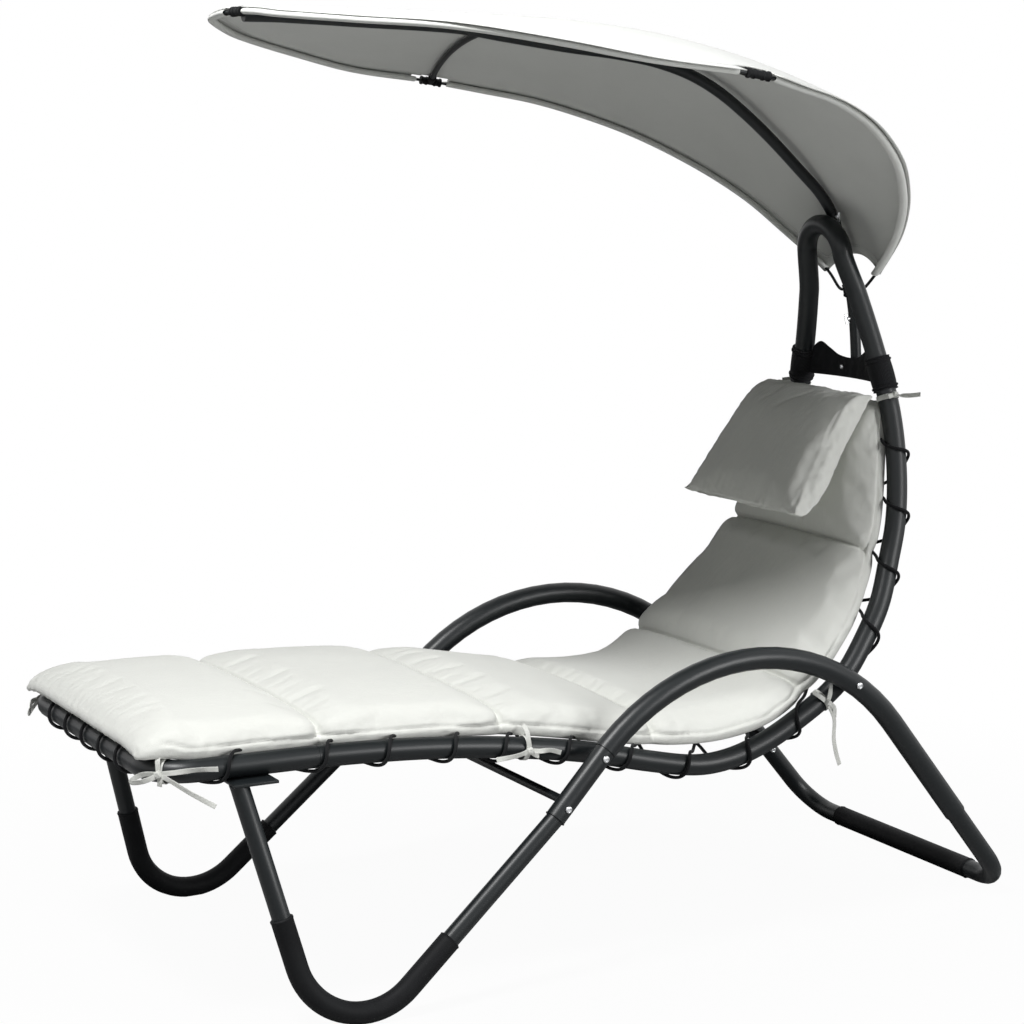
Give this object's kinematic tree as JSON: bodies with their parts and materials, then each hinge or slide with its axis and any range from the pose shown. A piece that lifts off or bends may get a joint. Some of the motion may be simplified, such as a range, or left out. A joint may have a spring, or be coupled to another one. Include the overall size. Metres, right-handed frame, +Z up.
{
  "type": "sun lounger with canopy",
  "caption": "Fixed tubular sun lounger with loop legs, laced sling, long sectioned cushion, hanging head pillow and a leaf-shaped cloth canopy on a curved pole.",
  "frame": {"origin": "middle of the base of the box that holds the lounger", "axes": "+X towards the head, +Y towards the sitter's right, +Z up"},
  "size_m": [1.815, 1.265, 1.7222],
  "materials": {
    "frame_coat": "satin charcoal powder coat",
    "black_plastic": "matte black",
    "zinc": "bright zinc plate",
    "webbing": "black woven mesh",
    "lacing_cord": "black braided cord",
    "cushion_cloth": "cream woven polyester",
    "tape": "cream tape",
    "canopy_fabric": "pale woven polyester"
  },
  "bodies": {
    "frame": {"foot_tube": "frame_coat", "seat_rail_left": "frame_coat", "seat_rail_right": "frame_coat", "back_hoop": "frame_coat", "arm_left": "frame_coat", "arm_right": "frame_coat", "front_leg_left": "frame_coat", "front_leg_right": "frame_coat", "leg_bracket_left": "frame_coat", "leg_bracket_right": "frame_coat", "coupling_left": "frame_coat", "coupling_right": "frame_coat", "cross_brace": "frame_coat", "rear_ground_tube": "frame_coat", "canopy_pole": "frame_coat", "canopy_spine_rear": "frame_coat", "canopy_spine_front": "frame_coat", "canopy_rib": "frame_coat", "edge_rod_front_left": "frame_coat", "edge_rod_front_right": "frame_coat", "edge_rod_rear_left": "frame_coat", "edge_rod_rear_right": "frame_coat", "foot_sleeve_left": "black_plastic", "foot_sleeve_right": "black_plastic", "ground_sleeve": "black_plastic", "tail_rod_collar": "black_plastic", "nose_connector": "black_plastic", "rib_saddle": "black_plastic", "rib_end_left": "black_plastic", "rib_end_right": "black_plastic", "arm_bolt_left": "zinc", "arm_bolt_right": "zinc", "coupling_bolt_left_1": "zinc", "coupling_bolt_left_2": "zinc", "coupling_bolt_right_1": "zinc", "coupling_bolt_right_2": "zinc", "leg_bracket_bolt_left": "zinc", "leg_bracket_bolt_right": "zinc", "rear_joint_bolt_left": "zinc", "rear_joint_bolt_right": "zinc", "sling": "webbing", "head_band": "webbing", "band_cuff_left": "webbing", "band_cuff_right": "webbing", "lacing_left": "lacing_cord", "lacing_right": "lacing_cord", "lacing_foot": "lacing_cord", "cushion": "cushion_cloth", "foot_tie_left": "tape", "foot_tie_right": "tape", "middle_tie_left": "tape", "middle_tie_right": "tape", "seat_tie_left": "tape", "seat_tie_right": "tape", "pillow_strap_left": "tape", "pillow_strap_right": "tape", "canopy_cloth": "canopy_fabric"},
    "pillow": {"head_pillow": "cushion_cloth"},
    "pole_screw": {"pole_thumb_screw": "zinc"},
    "hoop_screw": {"hoop_thumb_screw": "zinc"}
  },
  "joints": [
    {"name": "pillow_flip", "type": "hinge", "parent": "frame", "child": "pillow", "pos_m": [0.66463, 0, 0.98679], "axis": [0, 1, 0], "range_deg": [0, 100]},
    {"name": "pole_screw_turn", "type": "hinge", "parent": "frame", "child": "pole_screw", "pos_m": [0.72349, 0, 1.12795], "axis": [-0.9904, 0, -0.1381], "continuous": true},
    {"name": "hoop_screw_turn", "type": "hinge", "parent": "frame", "child": "hoop_screw", "pos_m": [0.67948, -0.0114, 1.3325], "axis": [0, -1, 0], "continuous": true}
  ]
}
